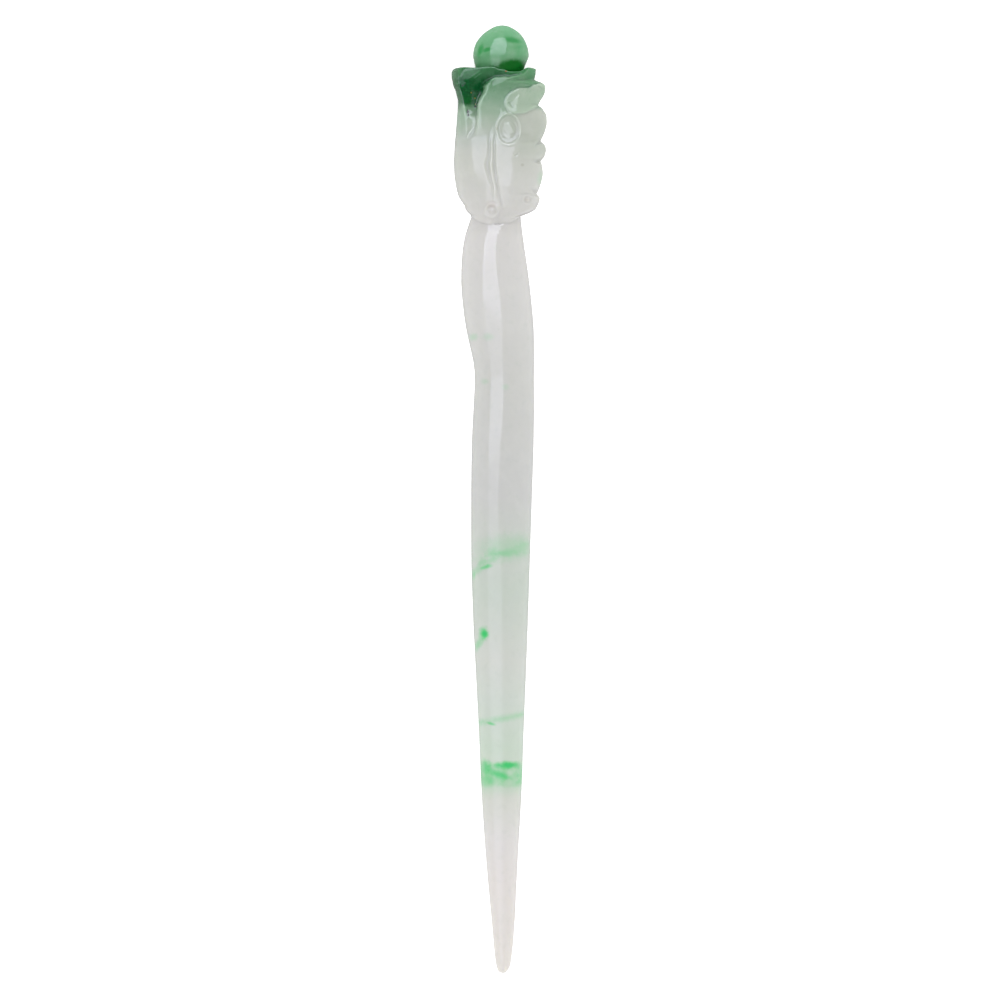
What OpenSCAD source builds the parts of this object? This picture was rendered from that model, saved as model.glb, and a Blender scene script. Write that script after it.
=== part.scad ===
// Topknot pin carved from one piece of jade: a dragon's head that holds a pearl, a neck and a tapered shaft.
// The pin lies on its side. +Y runs from the tip to the pearl, +X to the dragon's crest and +Z up.
// The head is carved on both faces, and the two faces mirror each other.
// The tables give millimetres on a pin of 150 mm, measured along the pin from the neck, where the shaft ends.

/* [Pin] */
// Length over all, from the tip to the point of the pearl
pin_length = 150; // [120:1:180]
// Thickness of the shaft as a share of its width
shaft_flatness = 0.9; // [0.8:0.01:1]

/* [Head] */
// Thickness of the head over the cheeks
head_thick = 11; // [10.4:0.1:12]
// Width of the pearl
pearl_d = 8.8; // [8:0.1:9]
// Depth of the valley that parts the crest
crest_valley = 0.9; // [0:0.1:1.2]

/* [Carving] */
// How far the lips and the nostrils stand out from the face
relief = 0.35; // [0.15:0.05:0.5]
// Radius of the eyelid, to the middle of its rim
eye_r = 1.75; // [1.5:0.05:1.9]
// Radius of the whisker's curl, to the middle of its rim
curl_r = 0.95; // [0.8:0.05:1.1]

/* [Hidden] */
drawn_length = 150;
ring_sides = 36;
stroke_sides = 10;
// A section with this power is an oval with flat faces, and 2 is an ellipse
head_power = 2.8;
shaft_power = 2.2;

// Shaft, from the tip to the chin: place along the pin, reach to the left, reach to the right
shaft_rows = [
    [-119.7, 0.35, 0.85],
    [-119.4, -0.10, 1.25],
    [-118.6, -0.45, 1.70],
    [-116.5, -0.75, 2.00],
    [-113.0, -1.05, 2.35],
    [-102.0, -2.05, 2.90],
    [-91.0, -2.80, 3.50],
    [-81.5, -3.25, 3.85],
    [-72.0, -3.70, 4.20],
    [-62.5, -4.20, 4.55],
    [-53.0, -4.45, 4.85],
    [-45.0, -4.45, 5.10],
    [-35.5, -4.35, 5.40],
    [-29.0, -4.00, 5.50],
    [-24.4, -3.85, 5.50],
    [-22.8, -4.10, 5.50],
    [-19.6, -4.85, 5.50],
    [-16.5, -5.45, 5.35],
    [-13.3, -5.80, 5.05],
    [-10.0, -6.05, 4.70],
    [-7.0, -5.95, 4.30],
    [-4.0, -5.65, 3.80],
    [-1.5, -4.95, 3.50],
    [0.0, -4.55, 3.45],
];

// Head, from the chin to the lips: place along the pin, left, right, share of head_thick.
// The right side rises over each lock of the mane, the brow and the nose, and falls to a notch between them.
head_rows = [
    [0.1, -4.65, 3.60, 0.810],
    [0.5, -4.95, 4.90, 0.850],
    [0.9, -5.25, 5.70, 0.890],
    [1.7, -5.65, 6.15, 0.930],
    [2.4, -6.00, 6.40, 0.950],
    [3.0, -6.25, 6.40, 0.970],
    [3.6, -6.50, 5.95, 0.980],
    [4.2, -6.65, 6.20, 0.990],
    [5.2, -6.90, 6.60, 1.000],
    [6.8, -7.10, 6.90, 1.000],
    [8.0, -7.15, 6.80, 1.000],
    [8.9, -7.20, 6.60, 1.000],
    [9.7, -7.15, 7.20, 1.000],
    [10.7, -7.10, 7.45, 1.000],
    [11.4, -7.05, 7.20, 1.000],
    [12.0, -7.00, 6.60, 1.000],
    [12.8, -6.90, 6.95, 0.990],
    [14.0, -6.80, 7.45, 0.985],
    [15.2, -6.70, 7.60, 0.975],
    [16.0, -6.65, 7.45, 0.965],
    [16.8, -6.60, 7.10, 0.950],
    [17.6, -6.60, 6.15, 0.940],
    [18.4, -6.60, 6.50, 0.930],
    [19.2, -6.75, 6.95, 0.920],
    [20.0, -6.95, 7.25, 0.910],
    [20.6, -7.20, 7.30, 0.900],
    [21.1, -7.35, 7.10, 0.890],
    [21.5, -7.45, 6.50, 0.880],
    [21.7, -7.50, 5.65, 0.875],
    [22.1, -7.55, 5.65, 0.870],
    [22.7, -7.60, 5.85, 0.860],
    [23.2, -7.40, 5.85, 0.840],
    [23.5, -6.80, 5.30, 0.800],
];
// The chin's edge is bowed: on the faces it reaches lower over the shaft than at the sides
chin_bow = 1.3;
chin_fade = 3;
// The valley runs along the crest between the head's two halves, which bulge a little beside it
valley_half = 2.1;
valley_bulge = 0.2 * crest_valley;

// Pearl, from inside the mouth to its point: height over the widest place, share of the half width
pearl_rows = [
    [-3.2, 0.700],
    [-2.6, 0.840],
    [-1.6, 0.930],
    [-0.8, 0.980],
    [0.0, 1.000],
    [0.8, 0.980],
    [1.6, 0.935],
    [2.4, 0.855],
    [3.0, 0.755],
    [3.5, 0.643],
    [4.0, 0.485],
    [4.4, 0.320],
    [4.7, 0.160],
];
pearl_place = [0.25, 25.5];
pearl_point = 4.8;

// Strokes of a round tool on the face: across, along, radius, height of the tool's middle over the face
gape_strokes = [
    [-2.2, 23.6, 1.70, 0.85],
    [-4.0, 21.8, 1.70, 0.75],
    [-4.6, 18.4, 1.10, 0.40],
    [-4.3, 15.2, 0.95, 0.40],
    [-4.3, 13.2, 0.65, 0.25],
];
lip_strokes = [
    [-3.7, 12.3, 0.20, -0.10],
    [-3.2, 13.4, 0.35, -0.15],
    [-3.1, 15.0, 0.45, -0.15],
    [-3.1, 18.2, 0.50, -0.15],
    [-2.5, 20.4, 0.55, -0.15],
    [-1.2, 21.5, 0.55, -0.15],
    [1.3, 22.3, 0.50, -0.15],
    [4.0, 22.7, 0.45, -0.10],
];
jaw_strokes = [
    [-6.5, 22.6, 0.50, -0.10],
    [-5.8, 18.4, 0.45, -0.15],
    [-5.4, 14.4, 0.35, -0.15],
    [-5.2, 12.4, 0.20, -0.10],
];
nostril_strokes = [
    [5.9, 20.2, 0.90, -0.50],
    [3.8, 19.9, 0.90, -0.55],
    [2.3, 19.0, 0.90, -0.55],
    [1.8, 17.6, 0.90, -0.55],
    [3.0, 16.9, 0.80, -0.45],
    [4.6, 17.4, 0.80, -0.45],
    [5.3, 18.5, 0.90, -0.55],
];
whisker_strokes = [
    [0.05, 15.8, 0.30, -0.52],
    [-0.45, 13.6, 0.40, -0.52],
    [-1.10, 12.2, 0.45, -0.52],
    [-1.25, 9.6, 0.50, -0.52],
    [-1.10, 6.2, 0.45, -0.52],
    [-0.75, 4.2, 0.40, -0.52],
    [-0.40, 2.2, 0.35, -0.52],
];
drawn_relief = 0.35;
raise = relief - drawn_relief;

// The whisker lies in a trench of its own, cut by the same strokes with a wider tool
trench_margin = 0.4;
trench_rise = 0.87;

// The eye and the whisker's curl lie in shallow dishes
eye_place = [1.15, 13.8];
curl_place = [-1.2, 1.25];
rim_wire = 0.32;
rim_skirt = 0.6;
eyelid_sink = 0.10;
eyeball_r = 1.15;
eyeball_sink = 0.95;
curl_sink = 0.30;
dish_margin = 0.6;
dish_rise = 0.5;
dish_flatness = 0.45;

// Open mouth: middle across, floor along, half width, half thickness
mouth_place = [-0.3, 22.6];
mouth_half = [5.0, 4.15];
mouth_depth = 3;
dip_place = [2.0, 26.4];
dip_r = 3.5;

// The pin pitches down towards its tip until the cheeks and the shaft touch the surface together
cheek_place = 5.2;
cheek_reach = head_thick / 2 * flat_share(head_power);
rest_pitch = min([
    for (row = shaft_rows)
        atan((cheek_reach - shaft_reach(row)) / (cheek_place - row[0]))
]);
lift = cheek_reach * cos(rest_pitch) - cheek_place * sin(rest_pitch);
pin_top = pearl_place[1] + pearl_point;
pin_end = shaft_rows[0][0];
middle_y = (pin_top + pin_end) / 2 * cos(rest_pitch);

// Share of the half thickness that the flat side of a section reaches
function flat_share(power) = pow(cos(180 / ring_sides), 2 / power);
function shaft_half(row) = (row[2] - row[1]) / 2 * shaft_flatness;
function shaft_reach(row) = shaft_half(row) * flat_share(shaft_power);
function signed_power(value, power) = sign(value) * pow(abs(value), power);

// How far a section of the head is bowed towards the tip
function bow(y) = y < 0 ? 0 : chin_bow * max(0, 1 - y / chin_fade);

// One section of a loft: an oval from left to right, with a flat side above and below.
// A valley as deep as dip parts its right side along the middle plane.
function section(left, right, half, y, power, dip = 0) = [
    for (i = [0 : ring_sides - 1])
        let (
            angle = 360 * (i + 0.5) / ring_sides,
            out = signed_power(cos(angle), 2 / power),
            up = signed_power(sin(angle), 2 / power) * half,
            near = out > 0 ? max(0, 1 - abs(up) / valley_half) : 0
        )
        [
            (left + right) / 2 + out * (right - left) / 2 - dip * near,
            y - bow(y) * (1 - out * out),
            up
        ]
];

// A column of the head's table at any place along the pin
function head_value(y, column) = lookup(y, [for (row = head_rows) [row[0], row[column]]]);

// Height of the head's face over the middle plane
function face_height(x, y) =
    let (
        left = head_value(y, 1),
        right = head_value(y, 2),
        out = min(1, abs(2 * x - left - right) / (right - left))
    )
    head_value(y, 3) * head_thick / 2 * pow(1 - pow(out, head_power), 1 / head_power);

// Skin over a row of sections with the same number of corners, in order along +Y
module loft(sections) {
    n = len(sections[0]);
    last = len(sections) - 1;
    polyhedron(
        points = [for (ring = sections) each ring],
        faces = [
            [for (i = [n - 1 : -1 : 0]) i],
            [for (i = [0 : n - 1]) last * n + i],
            for (k = [0 : last - 1], i = [0 : n - 1])
                let (j = (i + 1) % n)
                each [
                    [k * n + i, (k + 1) * n + j, (k + 1) * n + i],
                    [k * n + i, k * n + j, (k + 1) * n + j]
                ]
        ]
    );
}

module both_faces() {
    children();
    mirror([0, 0, 1]) children();
}

module on_face(place, rise = 0) {
    translate([place[0], place[1], face_height(place[0], place[1]) + rise]) children();
}

// Path of a round tool along the face of the head
module stroke(rows, rise = 0, margin = 0) {
    for (i = [0 : len(rows) - 2])
        hull()
            for (row = [rows[i], rows[i + 1]])
                on_face(row, row[3] + rise) sphere(r = row[2] + margin, $fn = stroke_sides);
}

// Round rim that stands on a skirt, so that nothing is hollow under it
module rim(r) {
    rotate_extrude($fn = 18)
        translate([r, 0])
            hull() {
                circle(r = rim_wire, $fn = 6);
                translate([0, -rim_skirt]) circle(r = rim_wire, $fn = 6);
            }
}

module dish(place, r) {
    on_face(place, dish_rise)
        scale([1, 1, dish_flatness]) sphere(r = r + dish_margin, $fn = 20);
}

module pearl() {
    profile = [for (row = pearl_rows) [row[1] * pearl_d / 2, row[0]]];
    color("darkseagreen")
        translate([pearl_place[0], pearl_place[1], 0])
            rotate([-90, 0, 0])
                rotate_extrude($fn = ring_sides)
                    polygon([[0, pearl_rows[0][0]], each profile, [0, pearl_point]]);
}

// The shaft and the head before its lines are cut, with its crest parted into two halves
module blank() {
    loft([
        for (row = shaft_rows)
            section(row[1], row[2], shaft_half(row), row[0], shaft_power),
        for (row = head_rows)
            let (half = row[3] * head_thick / 2)
            section(row[1], row[2] + valley_bulge, half, row[0], head_power, crest_valley)
    ]);
}

// Leaf shaped nostril, a swelling inside the outline of its strokes
module nostril() {
    hull()
        for (row = nostril_strokes)
            on_face(row, row[3] + raise) sphere(r = row[2], $fn = 12);
}

// Open mouth round the foot of the pearl, with a dip in its edge on both faces
module mouth() {
    translate([mouth_place[0], mouth_place[1], 0])
        rotate([-90, 0, 0])
            scale([mouth_half[0], mouth_half[1], 1])
                cylinder(r = 1, h = mouth_depth, $fn = ring_sides);
    translate([dip_place[0], dip_place[1], 0])
        cylinder(r = dip_r, h = 2 * head_thick, center = true, $fn = ring_sides);
}

module lips() {
    color("mediumseagreen")
        both_faces() {
            stroke(lip_strokes, rise = raise);
            stroke(jaw_strokes, rise = raise);
        }
}

module eye() {
    on_face(eye_place, -eyelid_sink) rim(eye_r);
    on_face(eye_place, -eyeball_sink) sphere(r = eyeball_r, $fn = 16);
}

module whisker() {
    stroke(whisker_strokes);
    on_face(curl_place, -curl_sink) rim(curl_r);
}

// The shaft and the carved head
module dragon() {
    color("gainsboro") {
        difference() {
            union() {
                blank();
                both_faces() nostril();
            }
            mouth();
            both_faces() {
                stroke(gape_strokes);
                stroke(whisker_strokes, rise = trench_rise, margin = trench_margin);
                dish(eye_place, eye_r);
                dish(curl_place, curl_r);
            }
        }
        both_faces() {
            whisker();
            eye();
        }
    }
    lips();
}

// The dragon and its pearl are one solid, at the size asked for, lying on the surface
module hairpin() {
    scale(pin_length / drawn_length)
        translate([0, -middle_y, lift])
            rotate([rest_pitch, 0, 0]) {
                dragon();
                pearl();
            }
}

hairpin();
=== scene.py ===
import math

import bmesh
import bpy
import numpy as np
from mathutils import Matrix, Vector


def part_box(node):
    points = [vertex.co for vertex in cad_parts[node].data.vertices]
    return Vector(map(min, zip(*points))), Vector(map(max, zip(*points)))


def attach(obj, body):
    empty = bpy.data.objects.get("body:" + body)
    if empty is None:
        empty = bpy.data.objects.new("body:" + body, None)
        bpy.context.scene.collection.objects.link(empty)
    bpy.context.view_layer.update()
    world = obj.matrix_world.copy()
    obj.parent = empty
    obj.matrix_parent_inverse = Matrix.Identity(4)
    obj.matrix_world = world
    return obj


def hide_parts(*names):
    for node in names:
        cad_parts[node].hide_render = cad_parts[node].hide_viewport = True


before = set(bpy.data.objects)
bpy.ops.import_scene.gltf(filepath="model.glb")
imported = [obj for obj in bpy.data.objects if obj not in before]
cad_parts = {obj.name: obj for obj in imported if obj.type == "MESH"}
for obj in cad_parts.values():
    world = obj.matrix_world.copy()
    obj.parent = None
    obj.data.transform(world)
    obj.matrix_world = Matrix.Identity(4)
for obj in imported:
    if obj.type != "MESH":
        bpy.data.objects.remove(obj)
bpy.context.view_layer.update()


# Blank. The real pin is sawn from one length of jadeite and ground to a long taper with a
# thicker block at its top. Its skin is drawn in rings, from the tip over the shaft and the
# head into the mouth and out over the pearl, in millimetres along the pin from the neck.
mm = 0.001
columns = 244
side_share = 0.35
oval_steps = 1441
tip_point = (0.60, -119.70)
shaft_flatness = 0.92
shaft_power = 2.1
head_power = 2.7
chin_bow = 1.3
chin_fade = 3.0

# Shaft: place along the pin, reach to the left, reach to the right
shaft_rows = [
    (-119.70, 0.55, 0.65),
    (-119.60, 0.15, 1.00),
    (-119.40, -0.15, 1.22),
    (-118.60, -0.45, 1.68),
    (-116.50, -0.75, 2.00),
    (-113.00, -1.05, 2.33),
    (-102.00, -2.05, 2.88),
    (-91.00, -2.80, 3.50),
    (-81.50, -3.23, 3.83),
    (-72.00, -3.71, 4.21),
    (-62.50, -4.18, 4.56),
    (-53.00, -4.45, 4.86),
    (-45.00, -4.47, 5.12),
    (-35.50, -4.34, 5.42),
    (-29.00, -4.01, 5.51),
    (-25.00, -3.85, 5.47),
    (-22.80, -4.09, 5.50),
    (-19.60, -4.83, 5.50),
    (-16.50, -5.43, 5.35),
    (-13.30, -5.81, 5.05),
    (-10.10, -6.05, 4.70),
    (-7.00, -5.96, 4.28),
    (-3.80, -5.62, 3.80),
    (-1.40, -4.93, 3.50),
    (0.00, -4.45, 3.36),
]

# Head: place along the pin, reach to the left, reach to the right, half thickness
head_rows = [
    (0.08, -4.46, 3.38, 4.30),
    (0.40, -4.55, 3.48, 4.50),
    (0.75, -4.92, 4.60, 4.65),
    (1.05, -5.18, 5.30, 4.78),
    (1.40, -5.38, 5.82, 4.86),
    (1.74, -5.45, 6.00, 4.95),
    (2.53, -5.95, 6.36, 5.10),
    (3.01, -6.26, 6.43, 5.18),
    (3.64, -6.54, 5.99, 5.26),
    (4.12, -6.65, 6.15, 5.30),
    (4.91, -6.84, 6.48, 5.36),
    (6.97, -7.11, 6.94, 5.42),
    (8.08, -7.16, 6.80, 5.44),
    (8.87, -7.18, 6.64, 5.44),
    (9.66, -7.14, 7.19, 5.44),
    (10.60, -7.09, 7.43, 5.44),
    (11.40, -7.05, 7.21, 5.42),
    (12.04, -7.02, 6.61, 5.40),
    (12.83, -6.91, 6.94, 5.38),
    (13.62, -6.87, 7.29, 5.36),
    (15.00, -6.73, 7.57, 5.32),
    (16.00, -6.67, 7.52, 5.26),
    (16.79, -6.61, 7.12, 5.20),
    (17.27, -6.59, 6.70, 5.16),
    (17.66, -6.57, 6.18, 5.14),
    (18.37, -6.57, 6.45, 5.08),
    (19.17, -6.75, 6.97, 5.04),
    (19.96, -6.94, 7.24, 5.00),
    (20.59, -7.22, 7.27, 4.96),
    (21.07, -7.37, 6.95, 4.92),
    (21.45, -7.42, 5.98, 4.88),
    (21.70, -7.49, 5.60, 4.84),
    (22.02, -7.56, 5.67, 4.80),
    (22.80, -7.57, 5.86, 4.70),
    (23.20, -7.40, 5.88, 4.60),
    (23.45, -7.10, 5.60, 4.45),
    (23.55, -6.70, 5.20, 4.30),
]

# Mouth, from the lips to the foot of the pearl: share of the way inwards, height over the lips
mouth_rows = [
    (0.00, 0.00),
    (0.06, -0.03),
    (0.14, -0.25),
    (0.30, -0.90),
    (0.55, -1.40),
    (0.80, -1.60),
    (1.00, -1.62),
]

# Pearl, from its foot to its point: height over the widest place, share of the half width
pearl_rows = [
    (-3.57, 0.580),
    (-3.20, 0.700),
    (-2.60, 0.820),
    (-1.60, 0.898),
    (-0.80, 0.955),
    (0.00, 1.000),
    (0.80, 0.982),
    (1.56, 0.939),
    (2.37, 0.857),
    (2.97, 0.761),
    (3.46, 0.665),
    (3.93, 0.530),
    (4.37, 0.370),
    (4.70, 0.200),
    (4.80, 0.070),
]
pearl_middle = (0.25, 25.5)
pearl_half = 4.4
pearl_point = 4.82
point_lean = 0.18
foot_lean = 0.15


def on_curve(rows, column, place):
    """A column of a table at any place, on a smooth curve that never passes beyond its rows."""
    at = np.array([row[0] for row in rows])
    value = np.array([row[column] for row in rows])
    step = np.diff(at)
    slope = np.diff(value) / step
    product = slope[:-1] * slope[1:]
    total = np.where(product > 0, slope[:-1] + slope[1:], 1)
    inner = np.where(product > 0, 2 * product / total, 0)
    tangent = np.concatenate([slope[:1], inner, slope[-1:]])
    row = np.clip(np.searchsorted(at, place, side="right") - 1, 0, len(step) - 1)
    share = np.clip((place - at[row]) / step[row], 0, 1)
    return (
        value[row] * (1 + 2 * share) * (1 - share) ** 2
        + tangent[row] * step[row] * share * (1 - share) ** 2
        + value[row + 1] * share * share * (3 - 2 * share)
        - tangent[row + 1] * step[row] * share * share * (1 - share)
    )


def ease(value, low, high):
    """Rises smoothly from 0 at low to 1 at high."""
    share = np.clip((value - low) / (high - low), 0, 1)
    return share * share * (3 - 2 * share)


def oval(left, right, half, power):
    """A ring of points round an oval with flattened faces, which get more points than its sides."""
    fine = np.linspace(0, 2 * np.pi, oval_steps)
    out = np.sign(np.cos(fine)) * np.abs(np.cos(fine)) ** (2 / power)
    up = np.sign(np.sin(fine)) * np.abs(np.sin(fine)) ** (2 / power)
    across = (left + right) / 2 + out * (right - left) / 2
    height = up * half
    step = np.hypot(np.diff(across), np.diff(height) * side_share)
    walked = np.concatenate([[0], np.cumsum(step)])
    at = np.linspace(0, walked[-1], columns, endpoint=False)
    return np.interp(at, walked, across), np.interp(at, walked, height)


def shaft_ring(place):
    """A ring of the shaft, bowed down under the chin at the neck."""
    left, right = on_curve(shaft_rows, 1, place), on_curve(shaft_rows, 2, place)
    half = (right - left) / 2 * shaft_flatness
    across, height = oval(left, right, half, shaft_power)
    out = (2 * across - left - right) / (right - left)
    lowered = chin_bow * ease(place, -3.0, 0.0)
    return np.stack([across, place - lowered * (1 - out * out), height], axis=1)


def head_ring(place):
    """A ring of the head, bowed down at the chin."""
    left, right, half = (on_curve(head_rows, column, place) for column in (1, 2, 3))
    across, height = oval(left, right, half, head_power)
    out = (2 * across - left - right) / (right - left)
    lowered = chin_bow * max(0, 1 - place / chin_fade)
    return np.stack([across, place - lowered * (1 - out * out), height], axis=1)


def mouth_ring(inwards, lips, foot):
    """A ring between the lips and the foot of the pearl."""
    ring = lips + (foot - lips) * inwards
    ring[:, 1] = lips[:, 1] + on_curve(mouth_rows, 1, inwards)
    return ring


def pearl_ring(height, turn):
    """A ring of the pearl, whose point and foot lean a little."""
    radius = pearl_half * on_curve(pearl_rows, 1, height)
    leans = point_lean * ease(height, 1.5, 4.4) - foot_lean * (1 - ease(height, -1.8, 0.0))
    return np.stack(
        [
            pearl_middle[0] + leans + radius * np.cos(turn),
            np.full(columns, pearl_middle[1] + height),
            radius * np.sin(turn),
        ],
        axis=1,
    )


# Places of the rings, closest together where the carving is finest
tip_places = -119.69 + 2.7 * np.linspace(0.0, 1, 14) ** 2
shaft_places = np.linspace(-116.0, -3.0, 64)
neck_places = np.linspace(-2.7, 0.0, 14)
head_places = np.linspace(0.08, 23.0, 228)
lip_places = np.linspace(23.1, 23.55, 7)
mouth_shares = np.linspace(0.06, 1, 17)
pearl_heights = 4.80 - 8.37 * np.linspace(1, 0, 47)[1:] ** 1.15

rings = [shaft_ring(place) for place in (*tip_places, *shaft_places, *neck_places)]
neck_count = len(rings)
rings += [head_ring(place) for place in (*head_places, *lip_places)]
lip_count = len(rings)
lips = rings[-1].copy()
lip_turn = np.unwrap(np.arctan2(lips[:, 2], lips[:, 0] - pearl_middle[0]))
even_turn = lip_turn[0] + np.linspace(0, 2 * np.pi, columns, endpoint=False)
foot = pearl_ring(pearl_rows[0][0], lip_turn)
rings += [mouth_ring(share, lips, foot) for share in mouth_shares]
mouth_count = len(rings)
for height in pearl_heights:
    settled = ease(height, pearl_rows[0][0], -1.0)
    rings.append(pearl_ring(height, lip_turn + (even_turn - lip_turn) * settled))
grid = np.array(rings)
ring_count = len(rings)


# Carving. The head is cut with small wheels and points fed with grit, alike on both faces:
# the cleft of the open mouth, the muzzle, a leaf shaped nostril, the ringed eye, a whisker
# that ends in a curl, and the locks of the mane.
outer = np.zeros(grid.shape[:2], bool)
outer[neck_count:lip_count] = True
not_pearl = np.zeros(grid.shape[:2], bool)
not_pearl[neck_count:mouth_count] = True


def smooth_path(rows, steps=12):
    """Points along a smooth line through the rows of a table, with all its columns."""
    rows = np.array(rows, float)
    walked = np.concatenate([[0], np.cumsum(np.hypot(*np.diff(rows[:, :2], axis=0).T))])
    fine = np.linspace(0, walked[-1], steps * (len(rows) - 1) + 1)
    table = np.column_stack([walked, rows])
    return np.column_stack([on_curve(table, 1 + c, fine) for c in range(rows.shape[1])])


def near_path(path, x, y):
    """How far each point is from the path, and the path's other columns at the nearest place."""
    best = np.full(x.shape, np.inf)
    carried = np.zeros(x.shape + (path.shape[1] - 2,))
    for start, end in zip(path[:-1], path[1:]):
        along = end[:2] - start[:2]
        length = max(float(along @ along), 1e-9)
        share = np.clip(((x - start[0]) * along[0] + (y - start[1]) * along[1]) / length, 0, 1)
        away = np.hypot(x - start[0] - share * along[0], y - start[1] - share * along[1])
        closer = away < best
        best = np.where(closer, away, best)
        here = start[2:] + share[..., None] * (end[2:] - start[2:])
        carried = np.where(closer[..., None], here, carried)
    return best, carried


def inside(outline, x, y):
    """Distance to a closed outline, positive inside it."""
    path = smooth_path(list(outline) + [outline[0]], 8)
    away, _ = near_path(np.column_stack([path, np.zeros(len(path))]), x, y)
    within = np.zeros(x.shape, bool)
    for start, end in zip(path[:-1], path[1:]):
        crosses = (start[1] > y) != (end[1] > y)
        rise = end[1] - start[1] if end[1] != start[1] else 1e-9
        within ^= crosses & (x < (end[0] - start[0]) * (y - start[1]) / rise + start[0])
    return np.where(within, away, -away)


def face_normals(points):
    """Outward directions of the skin, from its neighbours round the ring and along the pin."""
    around = np.roll(points, -1, axis=1) - np.roll(points, 1, axis=1)
    along = np.gradient(points, axis=0)
    normal = np.cross(along, around)
    length = np.linalg.norm(normal, axis=2, keepdims=True)
    return normal / np.maximum(length, 1e-9)


normals = face_normals(grid)
sample_ring = neck_count + 60
middle = grid[sample_ring].mean(axis=0)
if (normals[sample_ring] * (grid[sample_ring] - middle)).sum() < 0:
    normals = -normals
x, y, z = grid[..., 0].copy(), grid[..., 1].copy(), grid[..., 2].copy()
facing = np.abs(normals[..., 2])


def cut(height):
    """Moves the head's skin along its own outward directions."""
    grid[outer] += normals[outer] * height[outer][:, None]


def stroke(rows, crisp=False):
    """Cuts or raises a line: a rounded mark, or one with straight flanks if it is crisp.

    Its rows hold across, along, half width of the tool's mark, and height (below 0 cuts in).
    """
    away, carried = near_path(smooth_path(rows), x, y)
    width, height = carried[..., 0], carried[..., 1]
    mark = np.clip(1 - away / np.maximum(width, 1e-6), 0, 1)
    if not crisp:
        mark = np.sin(np.pi / 2 * mark) ** 2
    cut(mark * height * ease(facing, 0.1, 0.4))


def over(value, blur):
    """The part of a value that is over zero, with a rounded start."""
    return (value + np.hypot(value, blur)) / 2


# The grinding wheel left two faint ridges along the shaft, with a flat between them:
# place along the pin, left ridge and its lean, right ridge and its lean
flat_rows = [
    (-119.7, 0.20, 0.00, 0.90, 0.00),
    (-83.0, -1.40, 0.02, 0.70, 0.00),
    (-60.8, -1.75, 0.04, 0.35, 0.04),
    (-54.5, -1.80, 0.03, 0.15, 0.09),
    (-49.7, -1.45, 0.08, -0.25, 0.16),
    (-44.2, -1.65, 0.05, -0.35, 0.18),
    (-37.0, -1.70, 0.03, 0.05, 0.18),
    (-29.1, -1.70, 0.00, 0.50, 0.15),
    (-22.8, -1.70, 0.02, 0.35, 0.12),
    (-19.6, -2.00, 0.04, 0.50, 0.05),
    (-13.3, -2.35, 0.08, 0.05, 0.05),
    (-10.1, -2.40, 0.11, -0.30, 0.08),
    (-7.8, -2.35, 0.14, -0.75, 0.14),
    (-4.6, -2.10, 0.18, -0.70, 0.12),
    (-1.9, -1.70, 0.22, -0.45, 0.10),
    (0.5, -1.60, 0.22, -0.45, 0.10),
]
on_shaft = np.zeros(grid.shape[:2], bool)
on_shaft[:neck_count] = True
shaft_half = (on_curve(shaft_rows, 2, y) - on_curve(shaft_rows, 1, y)) / 2 * shaft_flatness
flat_left, left_lean, flat_right, right_lean = (on_curve(flat_rows, c, y) for c in (1, 2, 3, 4))
ground_off = left_lean * over(flat_left - x, 0.08) + right_lean * over(x - flat_right, 0.08)
grid[..., 2] = np.where(on_shaft, z * (1 - ground_off / shaft_half), z)

# The two faces lean towards the mane: from a ridge beside the right facet, and above it
# from the muzzle. Below the left facet the jaw falls away to the neck.
ridge_rows = [(0.0, 1.80), (1.2, 1.84), (3.0, 2.14), (4.9, 2.31), (6.7, 2.38), (9.1, 2.44), (13.0, 2.60)]
cheek_rows = [(4.0, -3.30), (6.2, -3.45), (6.8, -3.86), (8.4, -4.12), (10.0, -4.39), (12.6, -4.60)]
ridge_lean = 0.17
cheek_lean = 0.18
muzzle_lean, muzzle_left = 0.16, -2.8
jaw_fall, jaw_lean = 0.10, 0.34
facet_top, facet_slant, facet_middle = 6.0, 0.55, -2.7
chin_fall, chin_top = 0.40, 1.5
half_height = on_curve(head_rows, 3, y)
low_part = ease(y, 0.2, 1.4) * (1 - ease(y, 11.2, 13.2))
high_part = ease(y, 11.2, 13.2) * (1 - ease(y, 19.9, 21.3))
lowered = ridge_lean * low_part * over(x - on_curve(ridge_rows, 1, y), 0.12)
lowered += muzzle_lean * high_part * over(x - muzzle_left, 0.6)
jaw_part = 1 - ease(x, -1.5, 0.1)
facet_end = facet_top - facet_slant * (np.clip(x, -4.0, -1.0) - facet_middle)
lowered += jaw_part * jaw_fall * over(facet_end - y, 0.35)
cheek_part = ease(y, 4.5, 6.2) * (1 - ease(y, 11.0, 12.6))
lowered += cheek_part * cheek_lean * over(on_curve(cheek_rows, 1, y) - x, 0.10)
jaw_slope = over(-2.0 - x, 0.15) - 0.5 * over(-3.2 - x, 0.30) - 0.5 * over(-4.2 - x, 0.30)
lowered += (1 - ease(y, 4.6, 7.2)) * jaw_lean * jaw_slope
lowered += (1 - jaw_part) * chin_fall * over(chin_top - y, 0.2)
grid[..., 2] = np.where(outer, z * (1 - lowered / half_height), grid[..., 2])

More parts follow.
